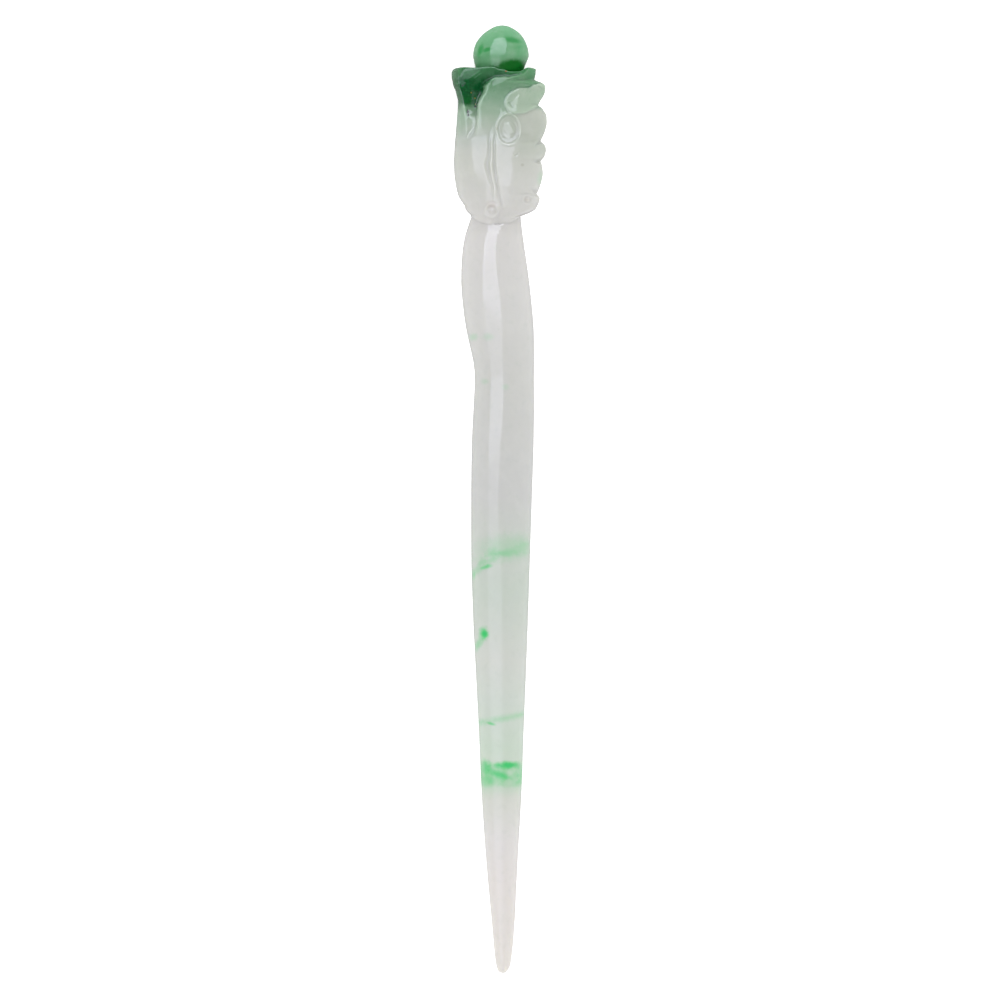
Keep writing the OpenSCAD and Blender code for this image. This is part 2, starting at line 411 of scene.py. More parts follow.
# Cleft of the mouth: the recess between the jaw and the muzzle, up to the foot of the pearl.
# Its floor falls from the edge of the jaw to the foot of the muzzle's wall.
cleft_outline = [
    (-4.85, 12.60),
    (-4.20, 12.80),
    (-3.75, 13.60),
    (-3.55, 15.50),
    (-3.60, 17.30),
    (-3.35, 18.60),
    (-2.95, 19.60),
    (-2.75, 20.65),
    (-1.50, 21.60),
    (1.46, 22.55),
    (3.00, 23.00),
    (4.60, 23.60),
    (5.60, 23.90),
    (5.60, 26.00),
    (-6.75, 26.00),
    (-6.59, 21.90),
    (-6.29, 20.62),
    (-5.84, 18.98),
    (-5.43, 17.03),
    (-5.29, 15.17),
    (-5.20, 13.40),
]
jaw_side_rows = [(12.6, -5.10), (15.2, -5.29), (17.0, -5.43), (19.0, -5.84), (21.9, -6.59), (26.0, -6.75)]
muzzle_side_rows = [(12.6, -4.20), (15.5, -3.55), (17.3, -3.60), (19.6, -2.95), (21.2, -1.44), (26.0, 0.50)]
cleft_depth_rows = [
    (12.0, 0.00),
    (13.5, 0.02),
    (14.8, 0.06),
    (15.5, 0.35),
    (16.3, 1.15),
    (17.5, 2.00),
    (20.0, 2.70),
    (21.2, 2.10),
    (22.2, 1.35),
    (23.0, 0.70),
    (23.4, 0.32),
    (23.6, 0.15),
]
wall_rows = [(12.5, 0.45), (17.3, 0.55), (18.6, 0.75), (19.8, 1.00), (20.7, 0.55), (21.4, 0.25)]
cleft_edge = inside(cleft_outline, x, y)
wall = on_curve(wall_rows, 1, y)
jaw_side = on_curve(jaw_side_rows, 1, y)
muzzle_side = on_curve(muzzle_side_rows, 1, y)
right_of_cleft = x > (jaw_side + muzzle_side) / 2
cleft = np.where(right_of_cleft, ease(cleft_edge, -wall, 0.10), ease(cleft_edge, -0.05, 0.20))
cleft *= ease(np.abs(z), 1.2, 3.2)
undercut = np.clip((x - jaw_side) / (muzzle_side - jaw_side), 0, 1) ** 0.75
cleft_depth = undercut * on_curve(cleft_depth_rows, 1, y)
squeeze = 1 - cleft * cleft_depth / np.maximum(np.abs(z), 3.0)
grid[..., 2] = np.where(not_pearl, grid[..., 2] * squeeze, grid[..., 2])

# Muzzle: its edge over the cleft is its highest line, and its cheek falls away from that:
# across, along, half width, height, half width of the edge's flat top
muzzle_ridge = [
    (-4.10, 12.50, 0.30, 0.05, 0.02),
    (-3.53, 12.70, 0.35, 0.20, 0.03),
    (-3.31, 13.31, 0.40, 0.35, 0.04),
    (-3.14, 14.41, 0.45, 0.50, 0.05),
    (-3.18, 15.54, 0.45, 0.55, 0.05),
    (-3.04, 17.26, 0.45, 0.60, 0.05),
    (-2.71, 18.15, 0.45, 0.62, 0.05),
    (-2.33, 18.95, 0.50, 0.62, 0.05),
    (-1.95, 19.80, 0.60, 0.60, 0.10),
    (-1.30, 20.75, 0.70, 0.56, 0.40),
    (-0.20, 21.35, 0.70, 0.50, 0.52),
    (1.20, 22.02, 0.65, 0.42, 0.42),
    (3.00, 22.72, 0.60, 0.25, 0.10),
    (4.70, 23.10, 0.45, 0.08, 0.02),
]
muzzle_reach = 2.7
ridge_path = smooth_path(muzzle_ridge)
from_ridge, carried = near_path(ridge_path, x, y)
ridge_width, ridge_height, ridge_flat = carried[..., 0], carried[..., 1], carried[..., 2]
cheek_side = (x > muzzle_side + 0.2) & (cleft_edge < 0)
fall = np.where(cheek_side, muzzle_reach, ridge_width)
swell = np.clip(1 - over(from_ridge - ridge_flat, 0.10) / fall, 0, 1) ** 1.6
cut(swell * ridge_height * ease(facing, 0.1, 0.4) * ease(y, 11.8, 13.6))


def grind_flat(outline, middle, lean, lower=0.0):
    """Grinds a small flat inside an outline, leaning by two slopes, through the skin at its middle."""
    share = ease(inside(outline, x, y), -0.15, 0.08) * ease(facing, 0.3, 0.6)
    from_middle = np.hypot(x - middle[0], y - middle[1]) + np.where(z > 0, 0, 99)
    level = grid[..., 2].ravel()[from_middle.argmin()] - lower
    flat = level + lean[0] * (x - middle[0]) + lean[1] * (y - middle[1])
    grid[..., 2] += np.where(outer, share * (np.sign(z) * flat - grid[..., 2]), 0)


muzzle_flat = [(-1.25, 21.10), (-0.60, 21.60), (1.55, 22.00), (1.00, 21.35), (0.30, 20.90), (-1.10, 20.40)]
grind_flat(muzzle_flat, (-0.10, 21.20), (0.09, -0.04), 0.09)

# Jaw: the cleft's closed end, two wheel marks on the lip, and the raised edge of the jaw
cleft_end = [
    (-5.15, 12.20, 0.24, 0.02),
    (-4.70, 13.00, 0.28, 0.26),
    (-4.20, 13.90, 0.24, 0.04),
]
stroke(cleft_end)
lip_marks = [
    [(-4.70, 21.70, 0.20, 0.02), (-3.90, 22.30, 0.22, 0.13), (-3.00, 22.95, 0.20, 0.02)],
    [(-4.15, 21.60, 0.20, 0.02), (-3.40, 22.10, 0.22, 0.13), (-2.65, 22.65, 0.20, 0.02)],
]
for rows in lip_marks:
    stroke(rows, crisp=True)
jaw_edge_ridge = [
    (-6.68, 21.90, 0.26, 0.02),
    (-6.52, 21.20, 0.28, 0.14),
    (-6.08, 19.60, 0.28, 0.16),
    (-5.76, 18.20, 0.28, 0.16),
    (-5.52, 17.03, 0.28, 0.16),
    (-5.38, 15.17, 0.26, 0.14),
    (-5.28, 13.40, 0.24, 0.10),
    (-5.10, 12.40, 0.24, 0.02),
]
stroke(jaw_edge_ridge, crisp=True)

# Nostril: a leaf that points to the tip of the nose, swollen inside a fine groove
leaf_outline = [
    (7.40, 21.20),
    (5.50, 20.90),
    (4.61, 20.35),
    (3.20, 20.30),
    (2.35, 20.00),
    (1.45, 19.30),
    (0.95, 18.60),
    (0.78, 17.90),
    (0.95, 17.20),
    (1.60, 16.40),
    (2.50, 16.10),
    (3.75, 16.15),
    (4.60, 16.50),
    (6.10, 17.40),
    (8.20, 18.20),
    (8.20, 20.80),
]
leaf_flat = [(3.05, 19.05), (2.85, 17.90), (2.10, 17.20), (1.50, 17.95), (2.15, 18.20)]
leaf_shoulder = 0.12
groove_place, groove_half, groove_depth = 0.08, 0.16, 0.17
leaf_edge = inside(leaf_outline, x, y)
leaf = 1 - np.exp(-np.clip(leaf_edge, 0, None) / leaf_shoulder)
leaf_groove = np.exp(-((leaf_edge + groove_place) / groove_half) ** 2)
leaf_groove *= 0.35 + 0.65 * ease(y, 18.6, 20.4)
leaf_rise = 0.11 + 0.17 * ease(x, 1.2, 3.8)
cut((leaf * leaf_rise - leaf_groove * groove_depth) * ease(facing, 0.15, 0.5))
grind_flat(leaf_flat, (2.35, 18.05), (0.02, 0.02))
leaf_fold = [
    (5.95, 20.80, 0.20, -0.04),
    (5.60, 20.95, 0.24, -0.26),
    (5.95, 20.55, 0.24, -0.26),
    (6.40, 20.20, 0.20, -0.06),
]
stroke(leaf_fold, crisp=True)

# Eye: a ball in an almond of the lids, an inner and an outer ring with gutters between them
eye_middle = (1.58, 13.62)
ball_half = (1.10, 1.32)
ball_rise = 0.09
ball_gutter_half, ball_gutter_depth = (1.27, 1.5), 0.05
inner_middle, inner_half, inner_rise = (1.50, 13.66), (1.46, 2.02), 0.07
outer_middle, outer_half, outer_rise = (1.47, 13.70), (1.88, 2.48), 0.13
lid_gutter_place, lid_gutter_depth = 1.19, 0.08
bed_depth = 0.16
eye_lowest = 9
eye_flat = [(0.80, 14.75), (1.60, 14.50), (2.25, 13.30), (1.40, 12.98), (0.62, 13.95)]


def from_oval(middle, half):
    """Distance from the middle of an oval, in steps of its half width."""
    return np.hypot((x - middle[0]) / half[0], (y - middle[1]) / half[1])


def hoop(share, half, width):
    """A crisp line along an oval."""
    return np.clip(1 - np.abs(share - 1) * (half[0] + half[1]) / 2 / width, 0, 1)


in_ball = from_oval(eye_middle, ball_half)
in_inner = from_oval(inner_middle, inner_half)
in_outer = from_oval(outer_middle, outer_half)
ball = np.clip(1 - in_ball**2, 0, 1) * ball_rise
gutter = hoop(in_ball, ball_gutter_half, 0.20) * ball_gutter_depth
inner_ring = hoop(in_inner, inner_half, 0.24) * inner_rise
outer_ring = hoop(in_outer, outer_half, 0.26) * outer_rise
lid_gutter = hoop(in_outer * lid_gutter_place, outer_half, 0.22) * lid_gutter_depth
bed = (1 - ease(in_outer, 0.75, 1.0)) * bed_depth
cut(np.where(y > eye_lowest, ball + (inner_ring + outer_ring) - gutter - lid_gutter - bed, 0))
grind_flat(eye_flat, (1.40, 13.90), (0.00, 0.00))

# Whisker: a raised line between two grooves, from the inner corner of the eye to a curl
whisker_left_groove = [
    (-1.10, 14.60, 0.25, -0.02),
    (-1.56, 12.60, 0.36, -0.11),
    (-1.54, 10.90, 0.42, -0.20),
    (-1.62, 9.50, 0.46, -0.23),
    (-1.92, 8.10, 0.48, -0.24),
    (-1.72, 7.00, 0.46, -0.23),
    (-1.40, 5.70, 0.42, -0.20),
    (-0.98, 4.60, 0.38, -0.14),
    (-1.00, 3.40, 0.30, -0.04),
]
whisker_right_groove = [
    (0.10, 16.40, 0.26, -0.03),
    (-0.30, 14.60, 0.30, -0.10),
    (-0.70, 12.80, 0.34, -0.16),
    (-0.82, 11.40, 0.40, -0.22),
    (-0.84, 9.00, 0.42, -0.24),
    (-0.62, 6.60, 0.42, -0.24),
    (-0.28, 4.60, 0.42, -0.21),
    (0.18, 2.60, 0.40, -0.17),
    (0.62, 1.20, 0.36, -0.08),
]
whisker_ridge = [
    (0.44, 16.20, 0.22, 0.02),
    (-0.22, 14.80, 0.24, 0.08),
    (-0.55, 13.70, 0.24, 0.11),
    (-0.95, 12.60, 0.26, 0.11),
    (-1.18, 11.40, 0.28, 0.10),
    (-1.22, 9.40, 0.28, 0.10),
    (-1.28, 8.00, 0.28, 0.10),
    (-1.10, 6.20, 0.28, 0.10),
    (-0.72, 4.40, 0.28, 0.11),
    (-0.85, 2.60, 0.26, 0.07),
]
for rows in (whisker_left_groove, whisker_right_groove, whisker_ridge):
    stroke(rows, crisp=True)


def curl(middle, marks):
    """Rounded rings about a middle: radius, half width and height of each."""
    away = np.hypot(x - middle[0], y - middle[1])
    return sum(np.exp(-(((away - radius) / half) ** 2)) * height for radius, half, height in marks)


whisker_curl = [(0.00, 0.40, 0.07), (0.60, 0.22, -0.07), (1.00, 0.22, 0.07), (1.36, 0.22, -0.04)]
cut(curl((-1.24, 0.95), whisker_curl) * (1 - ease(y, 2.0, 2.8)))

# Mane: shallow cuts that run in from the notches between the locks, and a small curl
mane_cuts = [
    [(7.4, 12.0, 0.50, -0.30), (6.2, 11.7, 0.46, -0.26), (5.2, 10.9, 0.36, -0.02)],
    [(7.4, 8.9, 0.50, -0.30), (6.2, 8.7, 0.46, -0.26), (5.2, 8.9, 0.36, -0.02)],
    [(7.0, 3.6, 0.50, -0.30), (5.8, 3.9, 0.46, -0.26), (4.7, 4.6, 0.36, -0.02)],
    [(7.2, 16.9, 0.50, -0.20), (6.3, 15.8, 0.46, -0.02)],
    [(2.35, 10.00, 0.20, -0.05), (2.60, 9.60, 0.24, -0.14), (3.00, 10.10, 0.20, -0.03)],
]
for rows in mane_cuts:
    stroke(rows)
cut(curl((4.43, 2.69), [(0.00, 0.26, 0.09), (0.42, 0.15, -0.08), (0.72, 0.17, 0.07)]))

# Crest: the two halves of the mane are parted by a shallow valley along the middle
valley_half = 2.1
valley_depth = 0.9
crest_swell = 0.12
left_of = on_curve(head_rows, 1, y)
right_of = on_curve(head_rows, 2, y)
share_across = np.clip((x - left_of) / (right_of - left_of), 0, 1)
in_valley = np.cos(np.pi / 2 * np.clip(np.abs(z) / valley_half, 0, 1)) ** 2
on_right = ease(share_across, 0.80, 0.95) * ease(y, 0.0, 0.8) * (1 - ease(y, 22.5, 23.4))
grid[..., 0] -= np.where(outer, valley_depth * in_valley * on_right, 0)
grid[..., 0] += np.where(outer, crest_swell * (1 - in_valley) * on_right, 0)

# Lips: their edge waves round the foot of the pearl: place across, rise
lip_wave_rows = [
    (-7.5, 0.10),
    (-6.0, 0.06),
    (-4.1, -0.10),
    (-2.1, 0.02),
    (-1.0, 0.02),
    (0.0, -0.32),
    (0.8, -0.42),
    (1.7, -0.70),
    (3.8, -0.62),
    (4.7, -0.30),
    (5.3, 0.05),
    (6.0, 0.15),
]
wave_weight = ease(y, 20.8, 23.2) * ease(np.abs(z), 2.6, 3.8)
wave = on_curve(lip_wave_rows, 1, x) * wave_weight
grid[..., 1] += np.where(not_pearl, wave, 0)


# Polish. The carved jade is polished until every edge is slightly round. The pin then lies
# on its side, pitched down a little towards its tip so that cheeks and shaft both touch.
polish_share = 0.35
cheek_span = (4, 14)
cheek_place = 7.0
shaft_end = -4
foot_rings = 6


def put_in_scene(name, data):
    """An object of its own in the scene, at the origin."""
    made = bpy.data.objects.new(name, data)
    bpy.context.scene.collection.objects.link(made)
    return made


jade_mesh = bpy.data.meshes.new("hairpin_jade")
bm = bmesh.new()
bmesh.ops.create_uvsphere(bm, u_segments=columns, v_segments=ring_count + 1, radius=1.0)
bm.verts.ensure_lookup_table()
ball_points = np.array([v.co for v in bm.verts])
from_pole = np.arctan2(np.hypot(ball_points[:, 0], ball_points[:, 1]), -ball_points[:, 2])
ring_of = np.rint(from_pole / (np.pi / (ring_count + 1))).astype(int) - 1
around = np.arctan2(ball_points[:, 1], ball_points[:, 0]) % (2 * np.pi)
column_of = np.rint(around / (2 * np.pi / columns)).astype(int) % columns
placed = grid[np.clip(ring_of, 0, ring_count - 1), column_of]
placed[ring_of < 0] = (tip_point[0], tip_point[1], 0)
placed[ring_of >= ring_count] = (pearl_middle[0] + point_lean, pearl_middle[1] + pearl_point, 0)
for vert, co in zip(bm.verts, placed):
    vert.co = co
bmesh.ops.smooth_vert(
    bm, verts=bm.verts, factor=polish_share, use_axis_x=True, use_axis_y=True, use_axis_z=True
)
bmesh.ops.recalc_face_normals(bm, faces=bm.faces)
for face in bm.faces:
    face.smooth = True
bm.to_mesh(jade_mesh)
bm.free()

pitched = np.empty(len(jade_mesh.vertices) * 3, np.float32)
jade_mesh.vertices.foreach_get("co", pitched)
pitched = pitched.reshape(-1, 3).astype(float)
on_cheek = (pitched[:, 1] > cheek_span[0]) & (pitched[:, 1] < cheek_span[1])
cheek_low = -pitched[on_cheek, 2].min()
shaft_points = pitched[pitched[:, 1] < shaft_end]
fall = (cheek_low + shaft_points[:, 2]) / (cheek_place - shaft_points[:, 1])
rest_pitch = math.atan(fall.min())
turned = pitched.copy()
turned[:, 1] = pitched[:, 1] * math.cos(rest_pitch) - pitched[:, 2] * math.sin(rest_pitch)
turned[:, 2] = pitched[:, 1] * math.sin(rest_pitch) + pitched[:, 2] * math.cos(rest_pitch)
cad_low, cad_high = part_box("hairpin")
shift_y = (cad_low.y + cad_high.y) / 2 / mm - (turned[:, 1].min() + turned[:, 1].max()) / 2
shift_z = -turned[:, 2].min()
turned += (0, shift_y, shift_z)
jade_mesh.vertices.foreach_set("co", (turned * mm).astype(np.float32).ravel())

ring_index = np.clip(ring_of, 0, ring_count - 1)
cleft_amount = np.where(not_pearl, cleft, 0)[ring_index, column_of]
leaf_amount = np.where(outer, ease(leaf_edge, -0.10, 0.25), 0)[ring_index, column_of]
pearl_amount = np.where(ring_of >= mouth_count - foot_rings, 1.0, 0.0)
for name, amount in (("cleft", cleft_amount), ("leaf", leaf_amount), ("pearl", pearl_amount)):
    layer = jade_mesh.attributes.new(name, "FLOAT", "POINT")
    layer.data.foreach_set("value", amount.astype(np.float32))
jade_mesh.update()
hairpin = put_in_scene("hairpin_jade", jade_mesh)


# Jade. Pale translucent jadeite with a high polish. The pearl, the lips and the cleft are
# deep green, which fades down the cheeks, and thin green veins cross the shaft.


def empty_tree(owner):
    """The node tree of a material or a world, with nothing in it."""
    owner.use_nodes = True
    owner.node_tree.nodes.clear()
    return owner.node_tree


jade = bpy.data.materials.new("jade")
tree = empty_tree(jade)


def node(kind, settings=(), **inputs):
    """Adds a shader node, with its settings and with values or links for its inputs."""
    made = tree.nodes.new(kind)
    for name, value in dict(settings).items():
        setattr(made, name, value)
    for name, value in inputs.items():
        socket = made.inputs[int(name[1:])] if name[1:].isdigit() else made.inputs[name.replace("_", " ")]
        if isinstance(value, bpy.types.NodeSocket):
            tree.links.new(value, socket)
        else:
            socket.default_value = value
    return made


def math_of(operation, first, second=0.0, third=0.0):
    """One step of arithmetic."""
    made = node("ShaderNodeMath", {"operation": operation}, i0=first, i1=second, i2=third)
    return made.outputs[0]


def times(first, second):
    """The product of two values."""
    return math_of("MULTIPLY", first, second)


def spread(value, low, high, at_low, at_high, kind="LINEAR"):
    """Goes from one value at low to another at high."""
    made = node(
        "ShaderNodeMapRange",
        {"interpolation_type": kind},
        Value=value,
        From_Min=low,
        From_Max=high,
        To_Min=at_low,
        To_Max=at_high,
    )
    return made.outputs["Result"]


def eased(value, low, high):
    """Rises smoothly from 0 at low to 1 at high."""
    return spread(value, low, high, 0.0, 1.0, "SMOOTHSTEP")


def measured(name):
    """A value that the mesh carries, from 0 to 1."""
    return node("ShaderNodeAttribute", {"attribute_name": name}).outputs["Fac"]


def painted(below, amount, colour):
    """Lays a colour over what is below it."""
    made = node(
        "ShaderNodeMix", {"data_type": "RGBA"}, i0=amount, i6=below, i7=(*colour, 1.0)
    )
    return made.outputs[2]


def cloud(scale, detail=3.0, seed=0.0, rough=0.5):
    """Noise in the stone, from 0 to 1."""
    made = node(
        "ShaderNodeTexNoise",
        {"noise_dimensions": "4D"},
        Vector=in_mm,
        W=seed,
        Scale=scale,
        Detail=detail,
        Roughness=rough,
    )
    return made.outputs["Fac"]


in_mm = node(
    "ShaderNodeMapping",
    i0=node("ShaderNodeTexCoord").outputs["Object"],
    Location=(0.0, -shift_y, -shift_z),
    Scale=(1 / mm, 1 / mm, 1 / mm),
).outputs[0]
across_mm, along_mm, height_mm = node("ShaderNodeSeparateXYZ", i0=in_mm).outputs

# The veins and patches wander with a slow noise
wander = math_of("MULTIPLY_ADD", cloud(0.45, 2.0, 3.0), 2.4, -1.2)
fine_wander = math_of("MULTIPLY_ADD", cloud(1.6, 3.0, 7.0), 1.4, -0.7)


def patch(middle, half, edge, ragged=0.3, turn=0.0):
    """A soft oval patch: middle, half sizes, width of its edge, and its turn in degrees."""
    cosine, sine = math.cos(math.radians(turn)), math.sin(math.radians(turn))
    dx = math_of("SUBTRACT", across_mm, middle[0])
    dy = math_of("SUBTRACT", along_mm, middle[1])
    if turn:
        longways = math_of("ADD", times(dx, cosine), times(dy, sine))
        dy = math_of("SUBTRACT", times(dy, cosine), times(dx, sine))
        dx = longways
    dx, dy = times(dx, 1 / half[0]), times(dy, 1 / half[1])
    away = math_of("SQRT", math_of("ADD", times(dx, dx), times(dy, dy)))
    away = math_of("ADD", away, times(fine_wander, ragged))
    return eased(away, 1.0 + edge, 1.0 - edge)


def vein(along, slope, half, edge, ragged=0.5):
    """A band that crosses the pin: its place at the middle, its slope, and half its width."""
    line = math_of("SUBTRACT", along_mm, math_of("MULTIPLY_ADD", across_mm, slope, along))
    line = math_of("ADD", line, times(fine_wander, ragged))
    return eased(math_of("ABSOLUTE", line), half + edge, half - edge)


# Ground colour along the pin: place, then red, green and blue
ground_rows = [
    (-119.7, (0.765, 0.735, 0.705)),
    (-105.0, (0.765, 0.735, 0.720)),
    (-98.0, (0.745, 0.730, 0.720)),
    (-92.0, (0.680, 0.695, 0.650)),
    (-84.0, (0.614, 0.700, 0.614)),
    (-77.0, (0.642, 0.693, 0.642)),
    (-70.0, (0.656, 0.678, 0.642)),
    (-59.0, (0.600, 0.656, 0.600)),
    (-52.0, (0.614, 0.649, 0.607)),
    (-44.0, (0.626, 0.630, 0.622)),
    (-26.0, (0.642, 0.645, 0.626)),
    (-13.3, (0.685, 0.681, 0.668)),
    (-3.8, (0.698, 0.687, 0.675)),
    (0.0, (0.665, 0.656, 0.640)),
    (4.8, (0.646, 0.650, 0.622)),
    (8.6, (0.607, 0.621, 0.580)),
    (10.5, (0.580, 0.600, 0.560)),
    (12.4, (0.522, 0.567, 0.522)),
    (14.3, (0.461, 0.534, 0.461)),
    (16.2, (0.362, 0.479, 0.373)),
    (18.1, (0.285, 0.428, 0.312)),
    (19.6, (0.224, 0.386, 0.256)),
    (21.5, (0.150, 0.318, 0.180)),
    (23.4, (0.130, 0.320, 0.168)),
    (26.0, (0.175, 0.428, 0.230)),
    (30.4, (0.215, 0.525, 0.290)),
]
pin_low, pin_high = ground_rows[0][0], ground_rows[-1][0]
ramp_place = math_of("DIVIDE", math_of("SUBTRACT", along_mm, pin_low), pin_high - pin_low)
ramp = node("ShaderNodeValToRGB", Fac=ramp_place)
while len(ramp.color_ramp.elements) < len(ground_rows):
    ramp.color_ramp.elements.new(0.5)
for stop, (along, colour) in zip(ramp.color_ramp.elements, ground_rows):
    stop.position = (along - pin_low) / (pin_high - pin_low)
    stop.color = (*colour, 1.0)
colour = ramp.outputs["Color"]

# The mane and the eye stay grey white, and the leaf of the nostril is paler than the muzzle
mane_colour = (0.534, 0.567, 0.509)
on_mane = eased(math_of("ADD", across_mm, times(wander, 0.4)), 1.6, 3.6)
on_mane = times(times(on_mane, eased(along_mm, 17.6, 16.4)), eased(along_mm, 8.0, 12.0))
colour = painted(colour, on_mane, mane_colour)
round_eye = patch((1.5, 14.0), (1.8, 2.1), 0.40)
colour = painted(colour, times(round_eye, 0.60), mane_colour)
leaf_mask = measured("leaf")
on_leaf = times(leaf_mask, math_of("SUBTRACT", 0.9, times(eased(across_mm, 2.4, 0.8), 0.35)))
colour = painted(colour, on_leaf, (0.440, 0.545, 0.438))

# Cloudy mottling through the whole stone
pale_cloud = eased(cloud(0.5, 4.0, 1.0), 0.42, 0.72)
colour = painted(colour, times(pale_cloud, 0.10), (0.80, 0.80, 0.77))
dull_cloud = eased(cloud(1.1, 4.0, 2.0), 0.50, 0.75)
colour = painted(colour, times(dull_cloud, 0.10), (0.42, 0.50, 0.43))

left_cheek = patch((-6.4, 15.6), (1.6, 2.4), 0.60)
colour = painted(colour, times(left_cheek, 0.30), (0.240, 0.400, 0.270))

# Deep green of the cleft, with its lower edge near the corner of the muzzle, and some painted shade on its
# wall
cleft_mask = measured("cleft")
deep_green = (0.001, 0.118, 0.026)
bright_green = (0.001, 0.150, 0.020)
jaw_colour = (0.022, 0.115, 0.042)
lip_green = (0.070, 0.235, 0.100)
tongue_green = (0.055, 0.270, 0.085)
low_edge = eased(math_of("ADD", along_mm, times(fine_wander, 0.5)), 17.2, 18.0)
side_edge = eased(math_of("ADD", along_mm, times(wander, 0.8)), 15.9, 18.5)
on_side = eased(math_of("ABSOLUTE", height_mm), 4.0, 2.6)
jaw_edge = math_of("ADD", times(low_edge, math_of("SUBTRACT", 1.0, on_side)), times(side_edge, on_side))
on_jaw = times(times(jaw_edge, eased(across_mm, -4.4, -5.2)), eased(along_mm, 23.7, 23.3))
colour = painted(colour, times(on_jaw, 0.90), jaw_colour)
in_cleft = eased(cleft_mask, 0.30, 0.88)
on_tongue = times(in_cleft, eased(along_mm, 15.2, 18.0))
colour = painted(colour, times(on_tongue, 0.50), tongue_green)
on_cleft = times(times(in_cleft, low_edge), eased(across_mm, 4.6, -1.2))
colour = painted(colour, times(on_cleft, 0.97), deep_green)
colour = painted(colour, times(times(on_cleft, eased(along_mm, 19.4, 18.4)), 0.8), bright_green)
dark_flecks = eased(cloud(2.6, 4.0, 31.0, 0.7), 0.50, 0.66)
colour = painted(colour, times(times(on_cleft, dark_flecks), 0.40), (0.012, 0.045, 0.018))
near_lips = times(on_cleft, eased(along_mm, 21.2, 22.6))
colour = painted(colour, times(near_lips, 0.75), lip_green)
lip_corner = patch((-7.0, 22.7), (1.0, 1.0), 0.60)
colour = painted(colour, times(lip_corner, 0.35), (0.200, 0.360, 0.230))
# The cleft's deep green carried up the wall at the muzzle's corner, partly painted shade that darkens the
# wall's lit edge
muzzle_corner_green_and_shade = patch((-1.9, 21.15), (0.8, 0.45), 0.45, 0.3, 35.0)
colour = painted(colour, times(muzzle_corner_green_and_shade, 0.85), (0.020, 0.130, 0.045))
muzzle_shade = patch((3.7, 21.6), (2.2, 0.8), 0.60, 0.3, 15.0)
colour = painted(colour, times(muzzle_shade, 0.30), (0.070, 0.240, 0.100))

# Green flecks beside the cleft
green_flecks = eased(cloud(2.0, 4.0, 33.0, 0.7), 0.55, 0.70)
on_muzzle = times(eased(along_mm, 17.0, 20.0), eased(along_mm, 23.4, 22.6))
colour = painted(colour, times(times(green_flecks, on_muzzle), 0.35), (0.070, 0.320, 0.130))

# Pearl: mid green with darker clouds and one deep patch low on its right:
# middle, half sizes, edge, turn, strength, colour
pearl_mask = measured("pearl")
pearl_cloud = times(eased(cloud(0.55, 3.0, 11.0), 0.50, 0.70), eased(along_mm, 23.0, 23.6))
colour = painted(colour, times(pearl_cloud, 0.25), (0.090, 0.370, 0.150))
mid_green = (0.085, 0.390, 0.150)
streak_green = (0.030, 0.320, 0.075)
patch_green = (0.002, 0.155, 0.012)
pearl_patches = [
    ((-2.9, 25.4), (1.4, 2.0), 0.50, 0.0, 0.26, mid_green),
    ((-3.0, 26.2), (0.35, 0.9), 0.70, -20.0, 0.85, streak_green),
    ((-1.9, 26.2), (0.7, 0.30), 0.60, 15.0, 0.75, streak_green),
    ((2.1, 27.7), (1.3, 0.45), 0.70, -10.0, 0.75, streak_green),
    ((2.9, 26.7), (1.3, 0.35), 0.70, 5.0, 0.25, streak_green),
    ((1.5, 23.1), (3.2, 1.20), 0.35, 8.0, 0.92, patch_green),
    ((2.3, 23.7), (1.8, 0.95), 0.45, 0.0, 1.00, patch_green),
    ((5.5, 22.7), (0.45, 0.9), 0.60, 0.0, 0.60, streak_green),
]
for middle_place, half, edge, turn, amount, green in pearl_patches:
    on_pearl = times(patch(middle_place, half, edge, 0.3, turn), pearl_mask)
    colour = painted(colour, times(on_pearl, amount), green)

# Bands that cross the shaft: place, slope, half width, edge, strength
veins = [
    (-79.3, 0.19, 0.35, 0.6, 0.34),
    (-52.9, 0.30, 0.12, 0.5, 0.13),
    (-54.6, 0.35, 0.10, 0.4, 0.08),
    (-88.0, 0.00, 1.75, 0.6, 0.50),
    (-89.3, 0.02, 1.60, 1.4, 0.16),
]
vein_green = (0.060, 0.620, 0.190)
broken = math_of("MULTIPLY_ADD", eased(cloud(0.5, 2.0, 5.0), 0.25, 0.60), 0.6, 0.4)
for along, slope, half, edge, amount in veins:
    band = times(vein(along, slope, half, edge), broken)
    colour = painted(colour, times(band, amount), vein_green)

